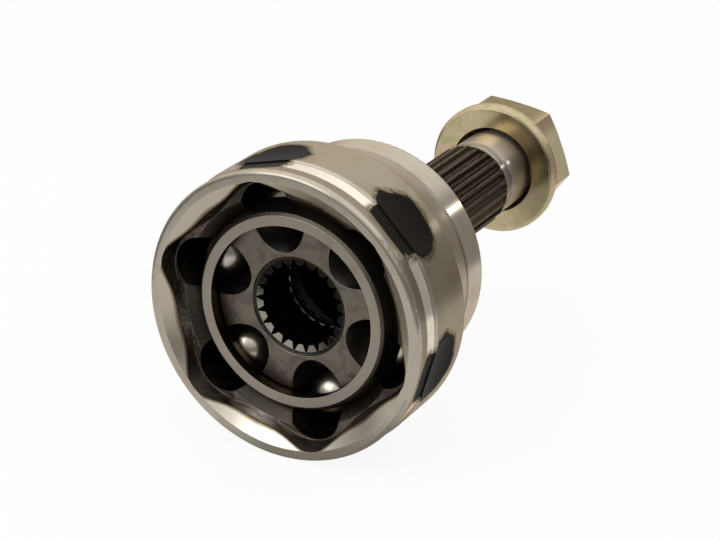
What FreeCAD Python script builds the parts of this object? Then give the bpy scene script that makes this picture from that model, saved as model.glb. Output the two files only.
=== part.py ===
import FreeCAD, Part
import math
import os

os.makedirs("parts", exist_ok=True)

# Outer constant velocity joint of a front-wheel-drive car, with its hub nut on the stub.
# +Y runs along the joint axis from the open mouth to the threaded end, +Z is up,
# and the origin is the joint centre. Angles run from +X towards +Z. All lengths are in mm.
# A share is how much of one tooth pitch a tooth, or a gap of the bore, fills at that radius.
V = FreeCAD.Vector
ORIGIN = V(0, 0, 0)
AXIS = V(0, 1, 0)

# Balls and their six meridian tracks
ball_count = 6
ball_diameter = 15.875
ball_pitch_radius = 29.6
first_ball_angle = 43.5
track_clearance = 0.2
track_angle_behind = 31.0
track_offset = 5.0
track_angle_ahead = 50.0

# Ball cage
cage_inner_radius = 27.9
cage_wall = 4.3
cage_front = 15.1
cage_back = 14.6
cage_front_opening_radius = 25.2
cage_back_opening_radius = 23.4
cage_edge_chamfer = 0.4
window_side_clearance = 0.15
window_length = 19.4
window_corner_radius = 3.0

# Inner race
race_clearance = 0.2
race_half_width = 10.3
race_edge_chamfer = 0.4
race_recess_radius = 14.4
race_recess_depth = 0.6
race_recess_chamfer = 0.4
shaft_tooth_count = 22
shaft_tooth_tip_radius = 11.9
shaft_tooth_depth = 2.0
shaft_gap_share_inside = 0.58
shaft_gap_share_outside = 0.1
shaft_entry_slope = 0.25
shaft_exit_chamfer = 1.0

# Spring ring that holds the driveshaft, in its groove near the back of the inner race
clip_wire_diameter = 1.8
clip_fit = 0.02
clip_position = 7.2
clip_gap_angle = 24.0
clip_gap_direction = 35.0
clip_groove_side_clearance = 0.15

# Bell mouth of the outer race
cage_clearance = 0.2
mouth_depth = 20.0
mouth_flat_radius = 39.2
mouth_chamfer_slope = 1.56
lobe_depth = 5.2
lobe_front_mean_radius = 37.35
lobe_front_swing = 1.25
lobe_front_ripple = 0.8
lobe_floor_mean_radius = 35.65
lobe_floor_swing = 2.2
lobe_floor_ripple = 0.1
lobe_points = 12
entry_length = 3.2
floor_position = 24.6
floor_cone_depth = 2.0

# Outside of the bell, from the mouth backwards
lip_radius = 42.3
lip_rounding = 1.3
lip_width = 1.4
lip_line_depth = 0.3
lip_line_width = 0.5
front_band_width = 3.3
front_band_fall = 0.15
boot_seat_width = 4.6
boot_seat_start_depth = 0.75
boot_seat_end_depth = 0.4
boot_seat_step = 0.4
body_radius = 42.7
body_width = 17.2
body_edge_chamfer = 0.4
shoulder_length = 17.8
shoulder_hollow = 1.2
collar_radius = 35.0
collar_groove_depth = 0.3
collar_groove_width = 0.8
collar_width = 9.8
collar_rounding = 0.9

# Forging flats left by the turned outside, one over each track
flat_depth = 1.1
flat_front = 3.0
dimple_middle = 14.7
dimple_radius = 27.0

# Stub behind the bell
neck_radius = 15.2
neck_length = 8.4
neck_rounding = 1.5
hub_tooth_count = 23
hub_tooth_tip_radius = 13.3
hub_tooth_depth = 1.2
hub_tooth_foot_share = 0.8
hub_tooth_tip_share = 0.2
hub_spline_length = 56.0
hub_ring_radius = 12.9
hub_ring_width = 2.6
relief_depth = 0.5
relief_width = 2.7
land_radius = 12.65
land_length = 13.6
thread_radius = 12.0
thread_length = 16.4
thread_end_chamfer = 1.2
centre_hole_radius = 3.2
centre_hole_depth = 4.6

# Flanged hub nut
nut_fit = 0.06
nut_height = 16.5
nut_across_flats = 36.4
nut_turn = 51.7
nut_land_overlap = 2.6
nut_recess_radius = 14.1
nut_recess_end_gap = 0.6
flange_face_radius = 20.2
flange_radius = 21.4
flange_bevel_length = 1.6
flange_rim_width = 1.7
flange_back_slope = 1.6
nut_back_chamfer = 1.3
nut_bore_chamfer = 0.8

# How far cutters stand out of the steel that they cut
cut_overrun = 1.0

ball_radius = ball_diameter / 2
track_radius = ball_radius + track_clearance
cage_outer_radius = cage_inner_radius + cage_wall
bell_sphere_radius = cage_outer_radius + cage_clearance
race_sphere_radius = cage_inner_radius - race_clearance
ball_step = 360.0 / ball_count

rim_y = -mouth_depth
lip_end_y = rim_y + lip_width
band_start_y = lip_end_y + lip_line_width
band_end_y = band_start_y + front_band_width
seat_end_y = band_end_y + boot_seat_width
body_end_y = seat_end_y + body_width
shoulder_end_y = body_end_y + shoulder_length
collar_end_y = shoulder_end_y + collar_width
neck_end_y = collar_end_y + neck_length
hub_spline_end_y = neck_end_y + hub_spline_length
hub_ring_end_y = hub_spline_end_y + hub_ring_width
land_start_y = hub_ring_end_y + relief_width
land_end_y = land_start_y + land_length
stub_end_y = land_end_y + thread_length
nut_face_y = land_end_y - nut_land_overlap


def at_angle(shape, angle):
    """Turn a shape that was made on +X to its place round the joint axis."""
    turned = shape.copy()
    turned.rotate(ORIGIN, AXIS, -angle)
    return turned


def revolved(points):
    """Closed solid of revolution round the joint axis from (radius, y) corners."""
    corners = [V(r, y, 0) for r, y in points]
    face = Part.Face(Part.makePolygon(corners + [corners[0]]))
    return face.revolve(ORIGIN, AXIS, 360)


def disc(radius, start_y, end_y):
    """Plain cylinder on the joint axis."""
    return Part.makeCylinder(radius, end_y - start_y, V(0, start_y, 0), AXIS)


def ring_points(radius_at, count, y):
    """Points round the axis whose radius follows a function of the angle."""
    points = []
    for i in range(count):
        angle = math.radians(360.0 * i / count)
        radius = radius_at(angle)
        points.append(V(radius * math.cos(angle), y, radius * math.sin(angle)))
    return points


def rounded_corner(start, corner, end):
    """Quarter circle from start to end that rounds off a square corner."""
    inwards = start + end - corner * 2
    return Part.Arc(start, corner + inwards * (1 - math.sqrt(0.5)), end).toShape()


def toothed_prism(tooth_count, foot_radius, tip_radius, foot_share, tip_share, start_y, end_y):
    """Straight-sided spline body: one foot, two flanks and one tip for each tooth."""
    pitch = 2 * math.pi / tooth_count
    foot_half = pitch * foot_share / 2
    tip_half = pitch * tip_share / 2
    outline = (
        (foot_radius, -foot_half),
        (tip_radius, -tip_half),
        (tip_radius, tip_half),
        (foot_radius, foot_half),
    )
    corners = []
    for i in range(tooth_count):
        for radius, turn in outline:
            angle = i * pitch + turn
            corners.append(V(radius * math.cos(angle), start_y, radius * math.sin(angle)))
    face = Part.Face(Part.makePolygon(corners + [corners[0]]))
    return face.extrude(V(0, end_y - start_y, 0))


def lobed_wire(mean_radius, swing, ripple, y):
    """Smooth closed outline with one lobe over each track; the ripple flattens its sides."""
    first = math.radians(first_ball_angle)

    def radius_at(angle):
        turn = ball_count * (angle - first)
        return mean_radius + swing * math.cos(turn) + ripple * math.cos(2 * turn)

    curve = Part.BSplineCurve()
    curve.interpolate(Points=ring_points(radius_at, ball_count * lobe_points, y), PeriodicFlag=True)
    return Part.Wire(curve.toShape())


def track_arc(path_radius, centre_y, sweep):
    """Ball-shaped groove cutter along an arc in the XY plane, starting level with its centre."""
    section = Part.Face(Part.Wire(Part.makeCircle(track_radius, V(path_radius, centre_y, 0), AXIS)))
    return section.revolve(V(0, centre_y, 0), V(0, 0, 1), sweep)


def bell_track():
    """One outer track: an arc behind the ball plane, straight ahead of it to the mouth."""
    behind = track_arc(ball_pitch_radius, 0, track_angle_behind)
    end_angle = math.radians(track_angle_behind)
    end = V(ball_pitch_radius * math.cos(end_angle), ball_pitch_radius * math.sin(end_angle), 0)
    tool_end = Part.makeSphere(track_radius, end)
    ahead = Part.makeCylinder(track_radius, mouth_depth, V(ball_pitch_radius, 0, 0), V(0, -1, 0))
    return behind.fuse([tool_end, ahead])


def bell_cavity():
    """Everything inside the bell: lobed mouth, entry cone, guide sphere, floor and six tracks."""
    lobe_floor_y = rim_y + lobe_depth
    valley_radius = lobe_floor_mean_radius - lobe_floor_swing + lobe_floor_ripple
    sphere_start_y = lobe_floor_y + entry_length
    sphere_start_radius = math.sqrt(bell_sphere_radius ** 2 - sphere_start_y ** 2)
    past_rim = cut_overrun / lobe_depth
    front_mean_radius = lobe_front_mean_radius + (lobe_front_mean_radius - lobe_floor_mean_radius) * past_rim
    front_swing = lobe_front_swing + (lobe_front_swing - lobe_floor_swing) * past_rim
    front_ripple = lobe_front_ripple + (lobe_front_ripple - lobe_floor_ripple) * past_rim
    front_wire = lobed_wire(front_mean_radius, front_swing, front_ripple, rim_y - cut_overrun)
    floor_wire = lobed_wire(lobe_floor_mean_radius, lobe_floor_swing, lobe_floor_ripple, lobe_floor_y)
    lobes = Part.makeLoft([front_wire, floor_wire], True, True)
    chamfer_end_radius = mouth_flat_radius - mouth_chamfer_slope * lobe_depth
    chamfer = revolved([
        (0, rim_y - cut_overrun),
        (mouth_flat_radius + mouth_chamfer_slope * cut_overrun, rim_y - cut_overrun),
        (chamfer_end_radius, lobe_floor_y),
        (0, lobe_floor_y),
    ])
    floor_radius = math.sqrt(bell_sphere_radius ** 2 - floor_position ** 2)
    sphere = Part.makeSphere(bell_sphere_radius)
    front_cap = disc(bell_sphere_radius, -2 * bell_sphere_radius, sphere_start_y)
    back_cap = disc(bell_sphere_radius, floor_position, 2 * bell_sphere_radius)
    sphere = sphere.cut([front_cap, back_cap])
    entry = revolved([
        (0, lobe_floor_y),
        (valley_radius, lobe_floor_y),
        (sphere_start_radius, sphere_start_y),
        (0, sphere_start_y),
    ])
    floor_cone = revolved([
        (0, floor_position),
        (floor_radius, floor_position),
        (0, floor_position + floor_cone_depth),
    ])
    tracks = [at_angle(bell_track(), first_ball_angle + i * ball_step) for i in range(ball_count)]
    return lobes.fuse([chamfer, entry, sphere, floor_cone] + tracks)


def bell_outside():
    """Turned outside of the bell and the whole stub, before the teeth and the cavity."""
    lip_front_radius = lip_radius - lip_rounding
    band_end_radius = lip_radius - front_band_fall
    shoulder_start = V(body_radius - body_edge_chamfer, body_end_y, 0)
    shoulder_end = V(collar_radius, shoulder_end_y - collar_groove_width, 0)
    bow = (shoulder_end - shoulder_start).normalize()
    shoulder_middle = (shoulder_start + shoulder_end) * 0.5 + V(-bow.y, bow.x, 0) * shoulder_hollow
    neck_root = V(neck_radius + neck_rounding, collar_end_y, 0)
    root_radius = hub_tooth_tip_radius - hub_tooth_depth
    relief_middle = V(land_radius - relief_depth, (hub_ring_end_y + land_start_y) / 2, 0)
    front_points = [
        V(lip_radius, rim_y + lip_rounding, 0),
        V(lip_radius, lip_end_y, 0),
        V(lip_radius - lip_line_depth, lip_end_y + lip_line_width / 2, 0),
        V(lip_radius, band_start_y, 0),
        V(band_end_radius, band_end_y, 0),
        V(body_radius - boot_seat_start_depth, band_end_y, 0),
        V(body_radius - boot_seat_end_depth, seat_end_y - boot_seat_step, 0),
        V(body_radius, seat_end_y, 0),
        V(body_radius, body_end_y - body_edge_chamfer, 0),
        shoulder_start,
    ]
    collar_points = [
        shoulder_end,
        V(collar_radius - collar_groove_depth, shoulder_end_y - collar_groove_width / 2, 0),
        V(collar_radius, shoulder_end_y, 0),
        V(collar_radius, collar_end_y - collar_rounding, 0),
    ]
    spline_points = [
        V(neck_radius, collar_end_y + neck_rounding, 0),
        V(neck_radius, neck_end_y - (neck_radius - root_radius), 0),
        V(root_radius, neck_end_y, 0),
        V(root_radius, hub_spline_end_y, 0),
        V(hub_ring_radius, hub_spline_end_y, 0),
        V(hub_ring_radius, hub_ring_end_y, 0),
    ]
    end_points = [
        V(land_radius, land_start_y, 0),
        V(land_radius, land_end_y - (land_radius - thread_radius), 0),
        V(thread_radius, land_end_y, 0),
        V(thread_radius, stub_end_y - thread_end_chamfer, 0),
        V(thread_radius - thread_end_chamfer, stub_end_y, 0),
        V(centre_hole_radius, stub_end_y, 0),
        V(0, stub_end_y - centre_hole_depth, 0),
        V(0, rim_y, 0),
        V(lip_front_radius, rim_y, 0),
    ]
    shoulder_arc = Part.Arc(shoulder_start, shoulder_middle, shoulder_end)
    collar_back = V(collar_radius - collar_rounding, collar_end_y, 0)
    pieces = [rounded_corner(V(lip_front_radius, rim_y, 0), V(lip_radius, rim_y, 0), front_points[0])]
    pieces += Part.makePolygon(front_points).Edges
    pieces += [shoulder_arc.toShape()]
    pieces += Part.makePolygon(collar_points).Edges
    pieces += [rounded_corner(collar_points[-1], V(collar_radius, collar_end_y, 0), collar_back)]
    pieces += [Part.makeLine(collar_back, neck_root)]
    pieces += [rounded_corner(neck_root, V(neck_radius, collar_end_y, 0), spline_points[0])]
    pieces += Part.makePolygon(spline_points).Edges
    pieces += [Part.Arc(spline_points[-1], relief_middle, end_points[0]).toShape()]
    pieces += Part.makePolygon(end_points).Edges
    face = Part.Face(Part.Wire(pieces))
    return face.revolve(ORIGIN, AXIS, 360)


def hub_spline():
    """Teeth that drive the hub, with chamfered ends."""
    root_radius = hub_tooth_tip_radius - hub_tooth_depth
    start_y = neck_end_y - hub_tooth_depth
    chamfer = hub_tooth_tip_radius - hub_ring_radius
    teeth = toothed_prism(
        hub_tooth_count, root_radius, hub_tooth_tip_radius, hub_tooth_foot_share, hub_tooth_tip_share,
        start_y, hub_spline_end_y)
    envelope = revolved([
        (0, start_y),
        (hub_tooth_tip_radius + cut_overrun, start_y),
        (hub_tooth_tip_radius + cut_overrun, hub_spline_end_y - chamfer - cut_overrun),
        (hub_ring_radius, hub_spline_end_y),
        (0, hub_spline_end_y),
    ])
    return teeth.common(envelope)


def forging_flat():
    """Shallow flat and dimple that the lathe leaves over one track, as a cutter on +X."""
    flat_plane = body_radius - flat_depth
    reach = 2 * ball_radius
    strip_start = rim_y + flat_front
    strip = Part.makeBox(reach, seat_end_y - strip_start, 2 * reach, V(flat_plane, strip_start, -reach))
    dimple = Part.makeCylinder(
        dimple_radius, 2 * reach, V(flat_plane + dimple_radius, rim_y + dimple_middle, -reach), V(0, 0, 1))
    return [strip, dimple]


def outer_race():
    """Bell and splined, threaded stub, forged and turned in one piece."""
    solid = bell_outside().fuse(hub_spline())
    solid = solid.cut(bell_cavity())
    cutters = []
    for i in range(ball_count):
        for cutter in forging_flat():
            cutters.append(at_angle(cutter, first_ball_angle + i * ball_step))
    return solid.cut(cutters).removeSplitter()


def cage_window():
    """Rounded window cutter on +X: close to the ball along the axis, long round the cage."""
    half_height = ball_radius + window_side_clearance
    half_length = window_length / 2
    inside = cage_inner_radius / 2
    box = Part.makeBox(
        cage_outer_radius, 2 * half_height, 2 * half_length, V(inside, -half_height, -half_length))
    radial_edges = [edge for edge in box.Edges if edge.BoundBox.XLength > inside]
    return box.makeFillet(window_corner_radius, radial_edges)


def cage():
    """Spherical ring with one window for each ball."""
    front_radius = math.sqrt(cage_outer_radius ** 2 - cage_front ** 2)
    back_radius = math.sqrt(cage_outer_radius ** 2 - cage_back ** 2)
    solid = Part.makeSphere(cage_outer_radius).cut(Part.makeSphere(cage_inner_radius))
    far = 2 * cage_outer_radius
    cutters = [
        disc(far, -far, -cage_front),
        disc(far, cage_back, far),
        disc(cage_front_opening_radius, -far, 0),
        disc(cage_back_opening_radius, 0, far),
    ]
    for edge_radius, edge_y, way in ((front_radius, -cage_front, 1), (back_radius, cage_back, -1)):
        cutters.append(revolved([
            (edge_radius - cage_edge_chamfer, edge_y),
            (edge_radius + cage_edge_chamfer, edge_y),
            (edge_radius + cage_edge_chamfer, edge_y + 2 * way * cage_edge_chamfer),
        ]))
    for i in range(ball_count):
        cutters.append(at_angle(cage_window(), first_ball_angle + i * ball_step))
    return solid.cut(cutters)


def clip_ring_radius():
    """Radius of the middle of the spring wire, seated in its groove."""
    return clip_groove_radius() - clip_fit - clip_wire_diameter / 2


def clip_groove_radius():
    """The groove is as deep as makes the wire stand level with the tooth tips."""
    return shaft_tooth_tip_radius + clip_wire_diameter + clip_fit


def shaft_bore():
    """Splined bore of the inner race with its front recess and its clip groove."""
    start_y = -race_half_width
    teeth_start_y = start_y + race_recess_depth
    root_radius = shaft_tooth_tip_radius + shaft_tooth_depth
    bore = toothed_prism(
        shaft_tooth_count, shaft_tooth_tip_radius, root_radius,
        shaft_gap_share_inside, shaft_gap_share_outside,
        start_y, race_half_width + cut_overrun)
    recess = revolved([
        (0, start_y - cut_overrun),
        (race_recess_radius + race_recess_chamfer + cut_overrun, start_y - cut_overrun),
        (race_recess_radius, start_y + race_recess_chamfer),
        (race_recess_radius, teeth_start_y),
        (0, teeth_start_y + race_recess_radius * shaft_entry_slope),
    ])
    leaving = revolved([
        (0, race_half_width - shaft_exit_chamfer),
        (root_radius - shaft_exit_chamfer, race_half_width - shaft_exit_chamfer),
        (root_radius + cut_overrun, race_half_width + cut_overrun),
        (0, race_half_width + cut_overrun),
    ])
    groove_half = clip_wire_diameter / 2 + clip_groove_side_clearance
    groove = disc(clip_groove_radius(), clip_position - groove_half, clip_position + groove_half)
    return bore.fuse([recess, leaving, groove])


def inner_race():
    """Grooved spherical race with a splined bore for the driveshaft."""
    far = 2 * race_sphere_radius
    face_radius = math.sqrt(race_sphere_radius ** 2 - race_half_width ** 2)
    solid = Part.makeSphere(race_sphere_radius)
    solid = solid.cut([disc(far, -far, -race_half_width), disc(far, race_half_width, far)])
    cutters = [shaft_bore()]
    for way in (-1, 1):
        cutters.append(revolved([
            (face_radius - race_edge_chamfer, way * race_half_width),
            (face_radius + race_edge_chamfer, way * race_half_width),
            (face_radius + race_edge_chamfer, way * (race_half_width - 2 * race_edge_chamfer)),
        ]))
    front_path_radius = math.hypot(ball_pitch_radius, track_offset)
    groove = track_arc(ball_pitch_radius, 0, track_angle_ahead)
    groove = groove.fuse([
        track_arc(ball_pitch_radius, 0, -track_angle_ahead),
        track_arc(front_path_radius, track_offset, -track_angle_ahead),
    ])
    for i in range(ball_count):
        cutters.append(at_angle(groove, first_ball_angle + i * ball_step))
    return solid.cut(cutters)


def retaining_clip():
    """Open ring of round spring wire."""
    wire_end = Part.Face(Part.Wire(Part.makeCircle(
        clip_wire_diameter / 2, V(clip_ring_radius(), clip_position, 0), V(0, 0, 1))))
    ring = wire_end.revolve(V(0, clip_position, 0), AXIS, 360 - clip_gap_angle)
    return at_angle(ring, clip_gap_direction)


def hub_nut():
    """Hexagon with a bevelled round flange, recessed over the smooth land of the stub."""
    corner_radius = nut_across_flats / 2 / math.cos(math.radians(30))
    bevel_end_y = nut_face_y + flange_bevel_length
    rim_end_y = bevel_end_y + flange_rim_width
    back_y = nut_face_y + nut_height
    slope_length = (flange_radius - nut_across_flats / 2) / flange_back_slope
    hexagon_points = ring_points(lambda angle: corner_radius, 6, bevel_end_y)
    hexagon = Part.Face(Part.makePolygon(hexagon_points + [hexagon_points[0]]))
    hexagon = at_angle(hexagon.extrude(V(0, back_y - bevel_end_y, 0)), nut_turn)
    corner_cone = revolved([
        (0, nut_face_y),
        (corner_radius + cut_overrun, nut_face_y),
        (corner_radius + cut_overrun, back_y - nut_back_chamfer),
        (corner_radius, back_y - nut_back_chamfer),
        (corner_radius - 2 * nut_back_chamfer, back_y),
        (0, back_y),
    ])
    flange = revolved([
        (0, nut_face_y),
        (flange_face_radius, nut_face_y),
        (flange_radius, bevel_end_y),
        (flange_radius, rim_end_y),
        (flange_radius - flange_back_slope * slope_length, rim_end_y + slope_length),
        (0, rim_end_y + slope_length),
    ])
    bore_radius = thread_radius + nut_fit
    recess_end_y = land_end_y + nut_recess_end_gap
    hole = revolved([
        (0, nut_face_y - cut_overrun),
        (nut_recess_radius, nut_face_y - cut_overrun),
        (nut_recess_radius, recess_end_y),
        (bore_radius, recess_end_y + nut_recess_radius - bore_radius),
        (bore_radius, back_y - nut_bore_chamfer),
        (bore_radius + nut_bore_chamfer + cut_overrun, back_y + cut_overrun),
        (0, back_y + cut_overrun),
    ])
    return hexagon.common(corner_cone).fuse(flange).cut(hole).removeSplitter()


def ball(index):
    """One ball in the middle plane of the joint."""
    centre = V(ball_pitch_radius, 0, 0)
    return at_angle(Part.makeSphere(ball_radius, centre), first_ball_angle + index * ball_step)


def single_solid(shape):
    """The one solid inside a result of several cuts."""
    if len(shape.Solids) != 1:
        print("expected one solid, found", len(shape.Solids))
    return shape.Solids[0]


pieces = {
    "outer_race": outer_race(),
    "inner_race": inner_race(),
    "cage": cage(),
    "retaining_clip": retaining_clip(),
    "hub_nut": hub_nut(),
}
for index in range(ball_count):
    pieces["ball_" + str(index + 1)] = ball(index)

for name, shape in pieces.items():
    solid = single_solid(shape)
    solid.exportStep("parts/" + name + ".step")
    box = solid.BoundBox
    print(name, "valid", solid.isValid(), "volume", round(solid.Volume, 1), "faces", len(solid.Faces),
          "y", round(box.YMin, 2), round(box.YMax, 2), "x", round(box.XMin, 2), round(box.XMax, 2))
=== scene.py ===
"""Looks of an outer constant velocity joint with its hub nut: finishes, stub thread, studio and camera."""

from __future__ import annotations

import logging
import math
from dataclasses import dataclass, field
from enum import Enum

import bpy
import numpy as np
from mathutils import Matrix, Vector

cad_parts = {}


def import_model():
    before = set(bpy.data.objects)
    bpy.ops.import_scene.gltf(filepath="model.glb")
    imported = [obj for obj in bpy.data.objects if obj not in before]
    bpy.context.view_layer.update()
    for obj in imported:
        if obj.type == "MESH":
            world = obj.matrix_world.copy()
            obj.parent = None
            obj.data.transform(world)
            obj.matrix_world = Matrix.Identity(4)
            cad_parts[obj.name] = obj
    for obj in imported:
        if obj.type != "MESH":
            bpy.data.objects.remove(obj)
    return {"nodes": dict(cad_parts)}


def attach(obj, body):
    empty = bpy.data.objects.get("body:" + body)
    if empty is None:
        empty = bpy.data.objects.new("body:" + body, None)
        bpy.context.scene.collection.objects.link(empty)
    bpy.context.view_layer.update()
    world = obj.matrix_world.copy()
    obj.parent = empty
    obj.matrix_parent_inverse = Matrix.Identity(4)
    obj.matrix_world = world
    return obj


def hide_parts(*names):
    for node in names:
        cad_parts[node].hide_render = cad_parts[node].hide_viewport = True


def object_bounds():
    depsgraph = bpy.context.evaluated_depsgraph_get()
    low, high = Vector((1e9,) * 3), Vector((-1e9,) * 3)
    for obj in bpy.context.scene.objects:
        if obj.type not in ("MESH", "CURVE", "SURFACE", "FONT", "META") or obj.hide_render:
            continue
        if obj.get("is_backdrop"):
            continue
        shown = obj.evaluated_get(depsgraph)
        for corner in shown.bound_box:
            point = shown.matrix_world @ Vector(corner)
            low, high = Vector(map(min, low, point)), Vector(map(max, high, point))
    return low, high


log = logging.getLogger("cv_joint")

MM = 0.001
Socket = bpy.types.NodeSocket
Value = float | Socket
Colour = tuple[float, float, float]

RING_WANDER = 0.012
BEVEL_SAMPLES = 6
EDGE_TURNS, EDGE_TURNED = 0.995, 0.93
WHITE = (1.0, 1.0, 1.0)
GRAZING_TINT = (1.0, 0.86, 0.72)
QUARTER_TURN = 0.25
FAR_AWAY = 99.0


class Blend(Enum):
    """How a second colour is laid over a first one."""

    OVER = "MIX"
    DARKEN = "MULTIPLY"


@dataclass(frozen=True)
class Step:
    """A smooth step between two values.

    Args:
        start: where it leaves 0.
        end: where it is complete; below start, the step falls instead.
        top: how high it gets.
    """

    start: float
    end: float
    top: float = 1.0


@dataclass(frozen=True)
class Stain:
    """A colour that shows where a value passes a step.

    Args:
        colour: linear base colour.
        step: how the value lets it show.
        blend: how it is laid over the colour below.
    """

    colour: Colour
    step: Step
    blend: Blend = Blend.OVER


@dataclass(frozen=True)
class Marks:
    """Soft random marks.

    Args:
        scale: marks per millimetre.
        detail: how many finer layers there are.
        roughness: how strong the finer layers are.
        distortion: how far they swirl.
        stretch: factors on the coordinates, for marks that run one way.
    """

    scale: float
    detail: float = 3.0
    roughness: float = 0.5
    distortion: float = 0.0
    stretch: tuple[float, float, float] | None = None


@dataclass(frozen=True)
class Band:
    """One stretch of steel along the joint axis, from its start to the next band's start.

    Args:
        start: place along +Y in millimetres.
        colour: linear base colour.
        roughness: how dull the stretch is.
    """

    start: float
    colour: Colour
    roughness: float


@dataclass(frozen=True)
class BellSizes:
    """Sizes of the bell and its stub in millimetres, as the solids have them."""

    ball_count: int = 6
    first_ball_angle: float = 43.5
    pitch_radius: float = 29.6
    track_radius: float = 8.14
    rim: float = -20.0
    mouth_radius: float = 39.2
    mouth_slope: float = 1.56
    lobe_length: float = 5.2
    lobe_front: tuple[float, float, float] = (37.35, 1.25, 0.8)
    lobe_floor: tuple[float, float, float] = (35.65, 2.2, 0.1)
    entry_end: float = -11.6
    floor: float = 24.6
    floor_cone: float = 2.4
    mouth_front: float = -19.97
    mouth_back: float = -8.2
    inside_radius: float = 40.0
    inside_reach: float = 38.2
    flat_plane: float = 41.6
    flat_start: float = -15.0
    seat_end: float = -10.2
    seat_radius: float = 42.1
    body_radius: float = 42.7
    dimple_middle: float = -5.3
    dimple_radius: float = 27.0
    spline_start: float = 43.0
    spline_end: float = 99.0
    tooth_tip: float = 13.3


@dataclass(frozen=True)
class RaceSizes:
    """Sizes of the inner race in millimetres, as the solid has them."""

    half_width: float = 10.3
    recess_radius: float = 14.4
    recess_floor: float = -9.7
    tooth_end_slope: float = 0.25
    tooth_root: float = 13.9
    track_offset: float = 5.0


@dataclass(frozen=True)
class CageSizes:
    """Sizes of the ball cage in millimetres, as the solid has them."""

    front: float = -15.1
    back: float = 14.6
    inner_radius: float = 27.9
    outer_radius: float = 32.2


@dataclass(frozen=True)
class ThreadSizes:
    """The thread on the end of the stub, in millimetres.

    Args:
        profile: shares of a turn at which the crest starts and ends, the root starts and ends, and
            the turn ends.
    """

    start: float = 117.9
    end: float = 134.3
    radius: float = 12.0
    pitch: float = 1.5
    depth: float = 0.92
    profile: tuple[float, float, float, float, float] = (0.0, 0.125, 0.4375, 0.6875, 1.0)
    end_radius: float = 10.8
    run_out: float = 1.6
    core_radius: float = 10.2
    cut_margin: float = 0.02
    rows_per_turn: int = 16
    columns: int = 120
    sharp_angle: float = 35.0


@dataclass(frozen=True)
class Place:
    """Where a shaded point lies on its piece, in millimetres round the joint axis."""

    point: Socket
    x: Socket
    y: Socket
    z: Socket
    radius: Socket
    angle: Socket


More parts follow.
